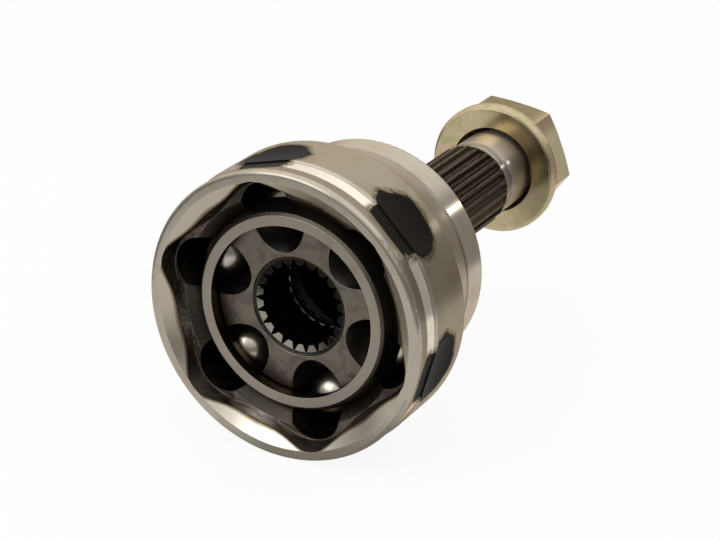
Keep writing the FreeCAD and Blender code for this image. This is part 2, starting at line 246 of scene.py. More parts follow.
class Shade:
    """Adds nodes to a material or to the world and hands back their sockets."""

    def __init__(self, owner: bpy.types.Material | bpy.types.World) -> None:
        """Empty the owner's node tree.

        Args:
            owner: the material or world.
        """
        owner.use_nodes = True
        self.owner = owner
        self.tree = owner.node_tree
        self.tree.nodes.clear()

    def add(self, kind: str, **settings: object) -> bpy.types.Node:
        """Add one node.

        Args:
            kind: Blender's node type.
            settings: properties to set on it.

        Returns:
            The new node.
        """
        node = self.tree.nodes.new(kind)
        for key, value in settings.items():
            setattr(node, key, value)
        return node

    def feed(self, socket: Socket, value: Value | Colour | None) -> None:
        """Link a socket to another one, or set its own value.

        Args:
            socket: the input to feed.
            value: a socket, a number, a colour, or None to leave it alone.
        """
        if value is None:
            return
        if isinstance(value, bpy.types.NodeSocket):
            self.tree.links.new(value, socket)
        elif isinstance(value, tuple) and socket.type == "RGBA":
            socket.default_value = (*value, 1.0)
        else:
            socket.default_value = value

    def math(self, operation: str, *values: Value) -> Socket:
        """Work out one number.

        Args:
            operation: Blender's name of the sum.
            values: up to three numbers or sockets.

        Returns:
            The result.
        """
        node = self.add("ShaderNodeMath", operation=operation)
        for socket, value in zip(node.inputs, values):
            self.feed(socket, value)
        return node.outputs[0]

    def plus(self, first: Value, second: Value) -> Socket:
        """The sum of two values."""
        return self.math("ADD", first, second)

    def minus(self, first: Value, second: Value) -> Socket:
        """The first value less the second."""
        return self.math("SUBTRACT", first, second)

    def times(self, first: Value, second: Value) -> Socket:
        """The product of two values."""
        return self.math("MULTIPLY", first, second)

    def hypot(self, first: Value, second: Value) -> Socket:
        """The length that two distances at right angles span."""
        return self.math("SQRT", self.plus(self.times(first, first), self.times(second, second)))

    def line(self, value: Value, slope: float, start: float) -> Socket:
        """Slope times a value, plus a start."""
        return self.math("MULTIPLY_ADD", value, slope, start)

    def step(self, value: Value, step: Step, limit: float = 0.0) -> Socket:
        """A smooth step.

        Args:
            value: what is tested.
            step: the step, counted from the limit.
            limit: the value at which the step's own 0 lies.

        Returns:
            A number from 0 to the step's top.
        """
        node = self.add("ShaderNodeMapRange", interpolation_type="SMOOTHSTEP")
        for socket, number in zip(node.inputs, (value, limit + step.start, limit + step.end, 0.0, step.top)):
            self.feed(socket, number)
        return node.outputs[0]

    def swing(self, value: Value, spread: float) -> Socket:
        """Random marks spread round 0."""
        return self.line(value, spread, -spread / 2)

    def both(self, *shares: Value) -> Socket:
        """The product of several shares."""
        result = shares[0]
        for share in shares[1:]:
            result = self.times(result, share)
        return result

    def rest(self, share: Value) -> Socket:
        """What a share leaves."""
        return self.minus(1.0, share)

    def less(self, share: Value, other: Value) -> Socket:
        """A share where another one isn't."""
        return self.times(share, self.rest(other))

    def colour(self, share: Value, under: Value | Colour, over: Value | Colour,
               blend: Blend = Blend.OVER) -> Socket:
        """Lay one colour over another.

        Args:
            share: how much of the second shows.
            under: the first colour.
            over: the second colour.
            blend: how they are laid over each other.

        Returns:
            The mixed colour.
        """
        # The node has a set of sockets for each type of data: 6, 7 and 2 are the colours.
        node = self.add("ShaderNodeMix", data_type="RGBA", blend_type=blend.value)
        self.feed(node.inputs[0], share)
        self.feed(node.inputs[6], under)
        self.feed(node.inputs[7], over)
        return node.outputs[2]

    def stain(self, value: Value, under: Value | Colour, stain: Stain, *shares: Value) -> Socket:
        """Lay a stain over a colour.

        Args:
            value: what the stain's step tests.
            under: the colour below.
            stain: the stain.
            shares: where else it has to be.

        Returns:
            The stained colour.
        """
        share = self.both(*shares, self.step(value, stain.step))
        return self.colour(share, under, stain.colour, stain.blend)

    def level(self, share: Value, under: Value, over: Value) -> Socket:
        """A number between two others.

        Args:
            share: 0 for the first, 1 for the second.
            under: the first number.
            over: the second number.

        Returns:
            The mixed number.
        """
        node = self.add("ShaderNodeMix", data_type="FLOAT")
        for socket, number in zip(node.inputs[0:1] + node.inputs[2:4], (share, under, over)):
            self.feed(socket, number)
        return node.outputs[0]

    def place(self) -> Place:
        """Coordinates of the shaded point in the piece's own frame.

        Returns:
            The point and its cylindrical coordinates, in millimetres.
        """
        source = self.add("ShaderNodeTexCoord").outputs["Object"]
        scaled = self.add("ShaderNodeVectorMath", operation="SCALE")
        self.feed(scaled.inputs[0], source)
        self.feed(scaled.inputs["Scale"], 1.0 / MM)
        parts = self.add("ShaderNodeSeparateXYZ")
        self.feed(parts.inputs[0], scaled.outputs[0])
        x, y, z = parts.outputs
        flat = self.add("ShaderNodeCombineXYZ")
        self.feed(flat.inputs[0], x)
        self.feed(flat.inputs[2], z)
        length = self.add("ShaderNodeVectorMath", operation="LENGTH")
        self.feed(length.inputs[0], flat.outputs[0])
        return Place(scaled.outputs[0], x, y, z, length.outputs["Value"], self.math("ARCTAN2", z, x))

    def noise(self, point: Socket, marks: Marks) -> Socket:
        """Soft random marks.

        Args:
            point: where they are read.
            marks: what they are like.

        Returns:
            A number round 0.5.
        """
        if marks.stretch:
            stretched = self.add("ShaderNodeVectorMath", operation="MULTIPLY")
            self.feed(stretched.inputs[0], point)
            stretched.inputs[1].default_value = marks.stretch
            point = stretched.outputs[0]
        node = self.add("ShaderNodeTexNoise")
        self.feed(node.inputs["Vector"], point)
        for name in ("scale", "detail", "roughness", "distortion"):
            node.inputs[name.capitalize()].default_value = getattr(marks, name)
        return node.outputs["Fac"]

    def lathe_marks(self, at: Place, pitch: float) -> Socket:
        """Fine rings round the joint axis, on turned cylinders and on faces alike.

        Args:
            at: the shaded point.
            pitch: about how far apart the rings are, in millimetres.

        Returns:
            A number round 0.5.
        """
        vector = self.add("ShaderNodeCombineXYZ")
        self.feed(vector.inputs[0], self.times(at.x, RING_WANDER))
        self.feed(vector.inputs[1], self.plus(at.y, at.radius))
        self.feed(vector.inputs[2], self.times(at.z, RING_WANDER))
        return self.noise(vector.outputs[0], Marks(1.0 / pitch, detail=2.0, roughness=0.6))

    def bands(self, at: Place, bands: tuple[Band, ...], end: float) -> tuple[Socket, Socket]:
        """Colour and roughness of each band along the axis.

        Args:
            at: the shaded point.
            bands: the bands, in order from the mouth.
            end: where the last one ends.

        Returns:
            The colour and the roughness.
        """
        start = bands[0].start
        share = self.math("DIVIDE", self.minus(at.y, start), end - start)
        node = self.add("ShaderNodeValToRGB")
        ramp = node.color_ramp
        ramp.interpolation = "CONSTANT"
        for index, band in enumerate(bands):
            position = (band.start - start) / (end - start)
            stop = ramp.elements[0] if index == 0 else ramp.elements.new(position)
            stop.position = position
            stop.color = (*band.colour, band.roughness)
        # A new ramp has a stop at its end, which isn't one of the bands.
        ramp.elements.remove(ramp.elements[-1])
        self.feed(node.inputs[0], share)
        return node.outputs["Color"], node.outputs["Alpha"]

    def track_distance(self, at: Place, sizes: BellSizes, offset: float = 0.0) -> Socket:
        """How far a point lies from the path of the nearest ball's centre.

        Args:
            at: the shaded point.
            sizes: the ball pattern.
            offset: how far the path's own centre lies along the axis, in millimetres.

        Returns:
            The distance in millimetres.
        """
        along, across = self.track_frame(at, sizes)
        path_radius = math.hypot(sizes.pitch_radius, offset)
        reach = self.hypot(along, self.minus(at.y, offset))
        return self.hypot(self.minus(reach, path_radius), across)

    def track_frame(self, at: Place, sizes: BellSizes) -> tuple[Socket, Socket]:
        """Distances towards the nearest track and across it.

        Args:
            at: the shaded point.
            sizes: the ball pattern.

        Returns:
            The distance from the axis towards the track, and the distance to its side.
        """
        half = math.pi / sizes.ball_count
        turned = self.minus(at.angle, math.radians(sizes.first_ball_angle))
        near = self.math("WRAP", turned, half, -half)
        return (self.times(at.radius, self.math("COSINE", near)),
                self.times(at.radius, self.math("SINE", near)))

    def edges(self, width: float) -> tuple[Socket, Socket]:
        """Softened edges and where they are.

        Args:
            width: radius of the softened edge in millimetres.

        Returns:
            The softened normal, and a share that is 1 on the edges.
        """
        bevel = self.add("ShaderNodeBevel", samples=BEVEL_SAMPLES)
        bevel.inputs["Radius"].default_value = width * MM
        plain = self.add("ShaderNodeNewGeometry").outputs["Normal"]
        dot = self.add("ShaderNodeVectorMath", operation="DOT_PRODUCT")
        self.feed(dot.inputs[0], bevel.outputs[0])
        self.feed(dot.inputs[1], plain)
        return bevel.outputs[0], self.step(dot.outputs["Value"], Step(EDGE_TURNS, EDGE_TURNED))

    def bumped(self, normal: Socket | None, *layers: tuple[Value, float]) -> Socket:
        """Raise fine marks on a surface.

        Args:
            normal: the normal to start from.
            layers: pairs of a height from 0 to 1 and how tall it is in millimetres.

        Returns:
            The bumped normal.
        """
        for height, tall in layers:
            node = self.add("ShaderNodeBump")
            node.inputs["Distance"].default_value = tall * MM
            self.feed(node.inputs["Height"], height)
            self.feed(node.inputs["Normal"], normal)
            normal = node.outputs[0]
        return normal

    def metal(self, colour: Value | Colour, roughness: Value, normal: Socket, metallic: Value = 1.0,
              turned: Value = 0.0, dull: float = 0.5) -> bpy.types.Material:
        """Close the material with its shader.

        Args:
            colour: base colour.
            roughness: how dull it is.
            normal: the bumped normal.
            metallic: 1 for bare metal, less under scale or oil.
            turned: how strongly the lathe marks stretch the highlights across them.
            dull: specular level under scale or oil.

        Returns:
            The finished material.
        """
        shader = self.add("ShaderNodeBsdfPrincipled")
        self.feed(shader.inputs["Base Color"], colour)
        self.feed(shader.inputs["Roughness"], roughness)
        self.feed(shader.inputs["Metallic"], metallic)
        self.feed(shader.inputs["Normal"], normal)
        shader.inputs["Specular IOR Level"].default_value = dull
        shader.inputs["Specular Tint"].default_value = (*GRAZING_TINT, 1.0)
        self.feed(shader.inputs["Anisotropic"], turned)
        shader.inputs["Anisotropic Rotation"].default_value = QUARTER_TURN
        tangent = self.add("ShaderNodeTangent", direction_type="RADIAL", axis="Y")
        self.feed(shader.inputs["Tangent"], tangent.outputs[0])
        output = self.add("ShaderNodeOutputMaterial")
        self.feed(output.inputs["Surface"], shader.outputs[0])
        return self.owner


@dataclass(frozen=True)
class BellMarks:
    """The random marks on the bell's steel."""

    fine: Socket
    coarse: Socket
    grain: Socket
    cloud: Socket
    scratches: Socket


@dataclass(frozen=True)
class BellFinish:
    """Turned steel outside, dark forged mouth and tracks inside, heat patches over the tracks."""

    sizes: BellSizes
    name: str = "turned_bell_steel"
    fine_rings: float = 0.16
    coarse_rings: float = 1.3
    soft_edge: float = 0.22
    grain: Marks = Marks(0.9, 4.0, 0.6)
    cloud: Marks = Marks(0.11, 4.0, 0.55, 0.6)
    jagged: Marks = Marks(0.15, 2.5, 0.5, 0.3)
    scratches: Marks = Marks(0.55, 5.0, 0.68, 1.2, (0.35, 1.6, 0.35))
    bands: tuple[Band, ...] = (
        Band(-20.0, (0.50, 0.45, 0.375), 0.26),
        Band(-18.75, (0.33, 0.288, 0.225), 0.34),
        Band(-18.0, (0.31, 0.268, 0.205), 0.34),
        Band(-14.8, (0.88, 0.82, 0.71), 0.17),
        Band(-11.2, (0.52, 0.47, 0.385), 0.27),
        Band(-10.3, (0.375, 0.33, 0.25), 0.34),
        Band(6.7, (0.56, 0.505, 0.42), 0.26),
        Band(7.2, (0.47, 0.42, 0.34), 0.29),
        Band(24.0, (0.34, 0.30, 0.24), 0.34),
        Band(24.75, (0.55, 0.50, 0.415), 0.23),
        # Painted shade: the collar's back face and the neck behind it are made dark.
        Band(34.5, (0.13, 0.11, 0.085), 0.38),
        Band(41.6, (0.026, 0.020, 0.0155), 0.36),
        Band(98.85, (0.46, 0.415, 0.345), 0.24),
        Band(101.55, (0.30, 0.265, 0.215), 0.28),
        Band(104.2, (0.63, 0.565, 0.475), 0.30),
        Band(117.4, (0.30, 0.27, 0.22), 0.34),
        Band(134.2, (0.46, 0.42, 0.35), 0.32),
    )
    bands_end: float = 134.4
    ring_shadow: Stain = Stain((0.78, 0.75, 0.70), Step(0.35, 0.75, 0.25), Blend.DARKEN)
    cloudy: Stain = Stain((0.80, 0.72, 0.60), Step(0.45, 0.75, 0.45), Blend.DARKEN)
    tooth_tip: Stain = Stain((0.075, 0.060, 0.048), Step(0.30, 0.62))
    spline_front: Step = Step(-0.6, 0.6)
    spline_back: Step = Step(0.1, 0.0)
    tip_edge: Step = Step(-0.35, -0.05)
    halo: Stain = Stain((0.13, 0.092, 0.052), Step(0.2, 0.6, 0.9))
    scale_colour: Colour = (0.0065, 0.0045, 0.0032)
    scale_spot: Stain = Stain((0.013, 0.0095, 0.0066), Step(0.4, 0.8))
    scale_edge: Step = Step(0.12, -0.04)
    halo_edge: Step = Step(0.62, 0.16)
    patch_start: Step = Step(-0.08, 0.0)
    halo_start: Step = Step(-0.8, 0.0)
    raggedness: float = -1.5
    raggedness_start: float = 0.62
    wall: Colour = (0.080, 0.068, 0.056)
    wall_spot: Stain = Stain((0.18, 0.155, 0.128), Step(0.35, 0.7))
    # Painted light: the lower part of the lobed wall is made lighter, in clouds.
    lit_lower_wall: Stain = Stain((0.27, 0.235, 0.195), Step(0.25, 0.55, 0.9))
    lower_wall_height: Step = Step(-14.0, -31.0)
    wall_scratch: Stain = Stain((0.46, 0.42, 0.36), Step(0.56, 0.68, 0.85))
    guide_scratch: Stain = Stain((0.46, 0.42, 0.36), Step(0.60, 0.75, 0.35))
    burnt: Stain = Stain((0.050, 0.034, 0.022), Step(-0.50, -0.12, 0.95))
    # Painted shade: the mouth wall and the cage seat get darker towards the top right.
    painted_shade: Stain = Stain((0.030, 0.024, 0.019), Step(-12.0, 26.0, 0.85))
    # Crescents: the lowest stay bright, higher ones are darkened as painted shade, and clouds add stains.
    rim: Colour = (0.80, 0.73, 0.62)
    rim_stain_and_shade: Colour = (0.42, 0.365, 0.28)
    rim_shade_height: Step = Step(-27.0, -14.0, 0.75)
    rim_stain_cloud: Step = Step(0.45, 0.85, 0.45)
    rim_burn: Stain = Stain((0.13, 0.092, 0.052), Step(0.75, 0.10, 0.95))
    crescent_edge: Step = Step(0.05, -0.05)
    unworn_crescent: Step = Step(0.9, 0.5)
    lobes_line: Step = Step(0.05, -0.02)
    entry_line: Step = Step(-0.05, 0.05)
    floor_line: Step = Step(-0.3, -0.1)
    track_edge: Step = Step(0.35, 0.15)
    entry: Colour = (0.052, 0.044, 0.036)
    # The cage seat and the tracks are dark steel, made darker still as painted shade deep in the bell.
    guide: Colour = (0.046, 0.039, 0.032)
    track: Colour = (0.050, 0.043, 0.037)
    bright: Colour = (0.70, 0.635, 0.53)
    worn: Step = Step(0.25, 0.6, 0.75)
    outside_wear: float = 0.55
    inside_wear: float = 0.20
    rim_roughness: float = 0.27
    inside_roughness: float = 0.36
    scale_roughness: float = 0.52
    fine_gloss: float = 0.10
    cloud_gloss: float = 0.16
    fine_depth: float = 0.008
    coarse_depth: float = 0.018
    grain_depth: float = 0.08
    outside_stretch: float = 0.82
    rim_stretch: float = 0.25
    scale_gloss: float = 0.09

    def heat_patch(self, shade: Shade, at: Place) -> tuple[Socket, Socket]:
        """Where the lathe left the forging, and the tint round it.

        Args:
            shade: the material being made.
            at: the shaded point.

        Returns:
            The share of dark scale and the share of tint.
        """
        sizes = self.sizes
        along, _across = shade.track_frame(at, sizes)
        axial = shade.minus(at.y, sizes.dimple_middle)
        square = shade.minus(sizes.dimple_radius ** 2, shade.times(axial, axial))
        dimple = shade.minus(sizes.flat_plane + sizes.dimple_radius,
                             shade.math("SQRT", shade.math("MAXIMUM", square, 0.0)))
        behind = shade.math("GREATER_THAN", at.y, sizes.seat_end)
        outside = shade.minus(shade.level(behind, sizes.flat_plane, dimple), along)
        cut = shade.minus(shade.level(behind, sizes.seat_radius, sizes.body_radius), at.radius)
        jagged = shade.line(shade.noise(at.point, self.jagged), self.raggedness, self.raggedness_start)
        ragged = shade.plus(shade.minus(outside, cut), jagged)
        scale = shade.both(shade.step(ragged, self.scale_edge),
                           shade.step(at.y, self.patch_start, sizes.flat_start))
        tint = shade.both(shade.step(ragged, self.halo_edge),
                          shade.step(at.y, self.halo_start, sizes.flat_start))
        return scale, tint

    def mouth(self, shade: Shade, at: Place) -> Socket:
        """How far the turned chamfer stands over the lobed wall, negative on the wall.

        Args:
            shade: the material being made.
            at: the shaded point.

        Returns:
            The distance in millimetres.
        """
        sizes = self.sizes
        depth = shade.minus(at.y, sizes.rim)
        cone = shade.line(depth, -sizes.mouth_slope, sizes.mouth_radius)
        turned = shade.minus(at.angle, math.radians(sizes.first_ball_angle))
        lobe: Value = 0.0
        for order, (front, floor) in enumerate(zip(sizes.lobe_front, sizes.lobe_floor)):
            share = shade.line(depth, (floor - front) / sizes.lobe_length, front)
            wave = shade.math("COSINE", shade.times(turned, float(order * sizes.ball_count)))
            lobe = shade.math("MULTIPLY_ADD", share, wave, lobe)
        return shade.minus(cone, lobe)

    def inside(self, shade: Shade, at: Place) -> Socket:
        """Where the bell's inner surfaces are.

        Args:
            shade: the material being made.
            at: the shaded point.

        Returns:
            1 inside and 0 outside.
        """
        sizes = self.sizes
        near_mouth = shade.both(
            shade.math("LESS_THAN", at.radius, sizes.inside_radius),
            shade.math("GREATER_THAN", at.y, sizes.mouth_front),
            shade.math("LESS_THAN", at.y, sizes.mouth_back))
        reach = shade.hypot(at.radius, at.y)
        deep = shade.both(shade.math("LESS_THAN", reach, sizes.inside_reach),
                          shade.math("LESS_THAN", at.y, sizes.floor + sizes.floor_cone))
        return shade.math("MAXIMUM", near_mouth, deep)

    def straight_track(self, shade: Shade, at: Place) -> Socket:
        """How far a point ahead of the balls lies from the straight stretch of the nearest track.

        Args:
            shade: the material being made.
            at: the shaded point.

        Returns:
            The distance in millimetres, and a large one behind the balls.
        """
        along, across = shade.track_frame(at, self.sizes)
        away = shade.hypot(shade.minus(along, self.sizes.pitch_radius), across)
        return shade.plus(away, shade.times(shade.math("GREATER_THAN", at.y, 0.0), FAR_AWAY))

    def turned_steel(self, shade: Shade, at: Place, marks: BellMarks,
                     tint: Socket) -> tuple[Socket, Socket]:
        """The steel outside, band by band, with its spline and the tint round the patches.

        Args:
            shade: the material being made.
            at: the shaded point.
            marks: the random marks.
            tint: the share of tint.

        Returns:
            The colour and the roughness.
        """
        sizes = self.sizes
        colour, rough = shade.bands(at, self.bands, self.bands_end)
        colour = shade.stain(marks.coarse, colour, self.ring_shadow)
        colour = shade.stain(marks.cloud, colour, self.cloudy)
        on_spline = shade.both(shade.step(at.y, self.spline_front, sizes.spline_start),
                               shade.step(at.y, self.spline_back, sizes.spline_end))
        on_tip = shade.step(at.radius, self.tip_edge, sizes.tooth_tip)
        colour = shade.stain(marks.grain, colour, self.tooth_tip, on_tip, on_spline)
        return shade.stain(marks.grain, colour, self.halo, tint), rough

    def mouth_front(self, shade: Shade, at: Place, marks: BellMarks, crescent: Socket,
                    on_wall: Socket) -> Socket:
        """The lobed wall and the bright crescents that the chamfer leaves on it.

        Args:
            shade: the material being made.
            at: the shaded point.
            marks: the random marks.
            crescent: how far the chamfer stands over the wall.
            on_wall: where the wall shows.

        Returns:
            The colour.
        """
        wall = shade.stain(marks.grain, self.wall, self.wall_spot)
        # Painted light on the lower wall.
        wall = shade.stain(marks.cloud, wall, self.lit_lower_wall, shade.step(at.z, self.lower_wall_height))
        wall = shade.stain(marks.scratches, wall, self.wall_scratch)
        wall = shade.stain(crescent, wall, self.burnt)
        # Painted shade towards the top right of the wall.
        wall = shade.stain(shade.plus(at.x, at.z), wall, self.painted_shade)
        # Stains in clouds, and painted shade on all but the lowest crescents.
        stained = shade.math("MAXIMUM", shade.step(at.z, self.rim_shade_height),
                             shade.step(marks.cloud, self.rim_stain_cloud))
        rim = shade.colour(stained, self.rim, self.rim_stain_and_shade)
        rim = shade.stain(crescent, rim, self.rim_burn)
        return shade.colour(on_wall, rim, wall)

    def cavity(self, shade: Shade, at: Place, marks: BellMarks, before_entry: Socket,
               front: Socket) -> Socket:
        """All the inner surfaces: mouth, entry cone, cage seat, floor and tracks.

        Args:
            shade: the material being made.
            at: the shaded point.
            marks: the random marks.
            before_entry: where the mouth is.
            front: the mouth's colour.

        Returns:
            The colour.
        """
        sizes = self.sizes
        past_entry = shade.step(at.y, self.entry_line, sizes.entry_end)
        guide = shade.colour(past_entry, self.entry, self.guide)
        guide = shade.stain(marks.scratches, guide, self.guide_scratch)
        guide = shade.colour(shade.step(at.y, self.floor_line, sizes.floor), guide, self.scale_colour)
        # Painted shade towards the top right of the cage seat.
        guide = shade.stain(shade.plus(at.x, at.z), guide, self.painted_shade)
        gap = shade.math("MINIMUM", shade.track_distance(at, sizes), self.straight_track(shade, at))
        on_track = shade.step(gap, self.track_edge, sizes.track_radius)
        return shade.colour(on_track, shade.colour(before_entry, guide, front), self.track)

    def make(self) -> bpy.types.Material:
        """Build the material.

        Returns:
            The finished material.
        """
        sizes = self.sizes
        shade = Shade(bpy.data.materials.new(self.name))
        at = shade.place()
        marks = BellMarks(shade.lathe_marks(at, self.fine_rings), shade.lathe_marks(at, self.coarse_rings),
                          *(shade.noise(at.point, each) for each in (self.grain, self.cloud, self.scratches)))
        normal, edge = shade.edges(self.soft_edge)
        scale, tint = self.heat_patch(shade, at)
        outer, outer_rough = self.turned_steel(shade, at, marks, tint)

        crescent = self.mouth(shade, at)
        on_wall = shade.step(crescent, self.crescent_edge)
        before_entry = shade.step(at.y, self.lobes_line, sizes.rim + sizes.lobe_length)
        front = self.mouth_front(shade, at, marks, crescent, on_wall)
        cavity = self.cavity(shade, at, marks, before_entry, front)

        inside = self.inside(shade, at)
        scale = shade.less(scale, inside)
        colour = shade.colour(inside, outer, cavity)
        colour = shade.colour(scale, colour, shade.stain(marks.cloud, self.scale_colour, self.scale_spot))
        rim_front = shade.less(before_entry, on_wall)
        dark_inside = shade.less(inside, rim_front)
        wear = shade.both(shade.less(edge, scale), shade.step(marks.grain, self.worn),
                          shade.level(dark_inside, self.outside_wear, self.inside_wear))
        near_crescent = shade.step(shade.math("ABSOLUTE", crescent), self.unworn_crescent)
        wear = shade.less(wear, shade.both(inside, before_entry, near_crescent))
        colour = shade.colour(wear, colour, self.bright)

        rough = shade.level(inside, outer_rough, self.rim_roughness)
        rough = shade.level(dark_inside, rough, self.inside_roughness)
        rough = shade.level(scale, rough, self.scale_roughness)
        rough = shade.plus(rough, shade.swing(marks.fine, self.fine_gloss))
        rough = shade.plus(rough, shade.swing(marks.cloud, self.cloud_gloss))
        turned = shade.rest(shade.math("MAXIMUM", scale, dark_inside))
        stretched = shade.both(turned, shade.level(inside, self.outside_stretch, self.rim_stretch))
        normal = shade.bumped(normal, (shade.both(marks.fine, turned), self.fine_depth),
                              (shade.both(marks.coarse, turned), self.coarse_depth),
                              (shade.less(marks.grain, turned), self.grain_depth))
        return shade.metal(colour, rough, normal, shade.rest(scale), stretched, self.scale_gloss)


@dataclass(frozen=True)
class RaceFinish:
    """Stained ground steel, black ball grooves, an oily splined bore, and tooth ends with painted light and
    shade.
    """

    bell: BellSizes
    sizes: RaceSizes
    name: str = "ground_race_steel"
    fine_rings: float = 0.14
    soft_edge: float = 0.20
    cloud: Marks = Marks(0.22, 5.0, 0.6, 0.8)
    grain: Marks = Marks(1.6, 3.0, 0.6)
    face: Colour = (0.185, 0.158, 0.128)
    stain: Stain = Stain((0.095, 0.077, 0.060), Step(0.42, 0.72, 0.75))
    ground: Colour = (0.20, 0.175, 0.145)
    # The ball grooves are dark steel, made darker still as painted shade.
    groove: Colour = (0.060, 0.052, 0.045)
    bore: Colour = (0.034, 0.028, 0.024)
    # Painted light and shade: the tooth ends are lit towards one angle and dark round the rest.
    shaded_tooth_end: Colour = (0.014, 0.012, 0.010)
    lit_tooth_end: Stain = Stain((0.52, 0.47, 0.39), Step(0.15, 1.05))
    brightest_lit_angle: float = -122.0
    bright: Stain = Stain((0.50, 0.45, 0.37), Step(0.3, 0.6, 0.7))
    face_edge: Step = Step(-0.12, -0.04)
    groove_edge: Step = Step(0.30, 0.12)
    bore_edge: Step = Step(0.28, 0.20)
    tooth_end_edge: Step = Step(0.06, 0.02)
    tooth_root_edge: Step = Step(0.0, -0.35)
    bore_depth: Step = Step(0.0, 2.3)
    bore_wear: float = 0.12
    cloud_gloss: float = 0.20
    fine_depth: float = 0.006
    grain_depth: float = 0.016
    roughness: float = 0.38
    groove_roughness: float = 0.42
    stretch: float = 0.4

    def make(self) -> bpy.types.Material:
        """Build the material.

        Returns:
            The finished material.
        """
        sizes = self.sizes
        shade = Shade(bpy.data.materials.new(self.name))
        at = shade.place()
        fine = shade.lathe_marks(at, self.fine_rings)
        cloud, grain = (shade.noise(at.point, each) for each in (self.cloud, self.grain))
        normal, edge = shade.edges(self.soft_edge)
        on_face = shade.step(shade.math("ABSOLUTE", at.y), self.face_edge, sizes.half_width)
        colour = shade.colour(on_face, self.ground, shade.stain(cloud, self.face, self.stain))
        gap = shade.math("MINIMUM", shade.track_distance(at, self.bell),
                         shade.track_distance(at, self.bell, sizes.track_offset))
        groove = shade.less(shade.step(gap, self.groove_edge, self.bell.track_radius), on_face)
        colour = shade.colour(groove, colour, self.groove)
        in_bore = shade.less(shade.step(at.radius, self.bore_edge, sizes.recess_radius), on_face)
        colour = shade.colour(in_bore, colour, self.bore)
        end_face = shade.line(shade.minus(sizes.recess_radius, at.radius), sizes.tooth_end_slope,
                              sizes.recess_floor)
        off_end = shade.math("ABSOLUTE", shade.minus(at.y, end_face))
        ends = shade.both(in_bore, shade.step(off_end, self.tooth_end_edge),
                          shade.step(at.radius, self.tooth_root_edge, sizes.tooth_root))
        # Painted light on the tooth ends towards the brightest angle, painted shade elsewhere.
        turned = shade.minus(at.angle, math.radians(self.brightest_lit_angle))
        end_steel = shade.stain(shade.math("COSINE", turned), self.shaded_tooth_end, self.lit_tooth_end)
        colour = shade.colour(ends, colour, end_steel)
        deep = shade.both(in_bore, shade.step(at.y, self.bore_depth, -sizes.half_width))
        colour = shade.stain(grain, colour, self.bright, edge, shade.level(deep, 1.0, self.bore_wear))
        rough = shade.level(groove, self.roughness, self.groove_roughness)
        rough = shade.plus(rough, shade.swing(cloud, self.cloud_gloss))
        normal = shade.bumped(normal, (fine, self.fine_depth), (grain, self.grain_depth))
        return shade.metal(colour, rough, normal, turned=self.stretch)


@dataclass(frozen=True)
class CageFinish:
    """Matt hardened cage steel, brown inside, with bright thin edges."""

    sizes: CageSizes
    name: str = "hardened_cage_steel"
    fine_rings: float = 0.2
    soft_edge: float = 0.22
    cloud: Marks = Marks(0.18, 4.0, 0.55, 0.5)
    grain: Marks = Marks(2.2, 3.0, 0.6)
    specks: Marks = Marks(3.4, 2.0, 0.6)
    face: Colour = (0.365, 0.322, 0.268)
    outside: Colour = (0.16, 0.138, 0.112)
    # The inside, and in clouds the window sides towards it, are made darker than the rest.
    inside: Colour = (0.050, 0.038, 0.029)
    window: Colour = (0.15, 0.13, 0.105)
    darker_inner_lip: Stain = Stain((0.050, 0.038, 0.029), Step(0.3, 0.6, 0.9))
    cloudy: Stain = Stain((0.80, 0.70, 0.56), Step(0.5, 0.8, 0.45), Blend.DARKEN)
    speck: Stain = Stain((0.15, 0.13, 0.105), Step(0.60, 0.70, 0.5))
    bright: Stain = Stain((0.56, 0.51, 0.43), Step(0.25, 0.55, 0.6))
    front_edge: Step = Step(0.15, 0.04)
    back_edge: Step = Step(-0.15, -0.04)
    inner_edge: Step = Step(0.5, 0.2)
    outer_edge: Step = Step(-0.4, -0.1)
    lip_edge: Step = Step(1.2, -0.6)
    roughness: float = 0.34
    face_roughness: float = 0.46
    cloud_gloss: float = 0.14
    fine_depth: float = 0.005
    grain_depth: float = 0.012
    stretch: float = 0.2

    def make(self) -> bpy.types.Material:
        """Build the material.

        Returns:
            The finished material.
        """
        sizes = self.sizes
        shade = Shade(bpy.data.materials.new(self.name))
        at = shade.place()
        fine = shade.lathe_marks(at, self.fine_rings)
        cloud, grain, specks = (shade.noise(at.point, each) for each in (self.cloud, self.grain, self.specks))
        normal, edge = shade.edges(self.soft_edge)
        reach = shade.hypot(at.radius, at.y)
        middle = 0.5 * (sizes.inner_radius + sizes.outer_radius)
        on_face = shade.math("MAXIMUM", shade.step(at.y, self.front_edge, sizes.front),
                             shade.step(at.y, self.back_edge, sizes.back))
        inner = shade.step(reach, self.inner_edge, sizes.inner_radius)
        outer = shade.step(reach, self.outer_edge, sizes.outer_radius)
        colour = shade.colour(inner, self.window, self.inside)
        colour = shade.colour(outer, colour, self.outside)
        lip = shade.less(shade.step(reach, self.lip_edge, middle), on_face)
        # The window sides are made darker towards the inside, in clouds.
        colour = shade.stain(cloud, colour, self.darker_inner_lip, lip)
        colour = shade.colour(on_face, colour, self.face)
        colour = shade.stain(cloud, colour, self.cloudy)
        colour = shade.stain(specks, colour, self.speck, on_face)
        colour = shade.stain(grain, colour, self.bright, edge)
        rough = shade.level(on_face, self.roughness, self.face_roughness)
        rough = shade.plus(rough, shade.swing(cloud, self.cloud_gloss))
        normal = shade.bumped(normal, (fine, self.fine_depth), (grain, self.grain_depth))
        return shade.metal(colour, rough, normal, turned=self.stretch)


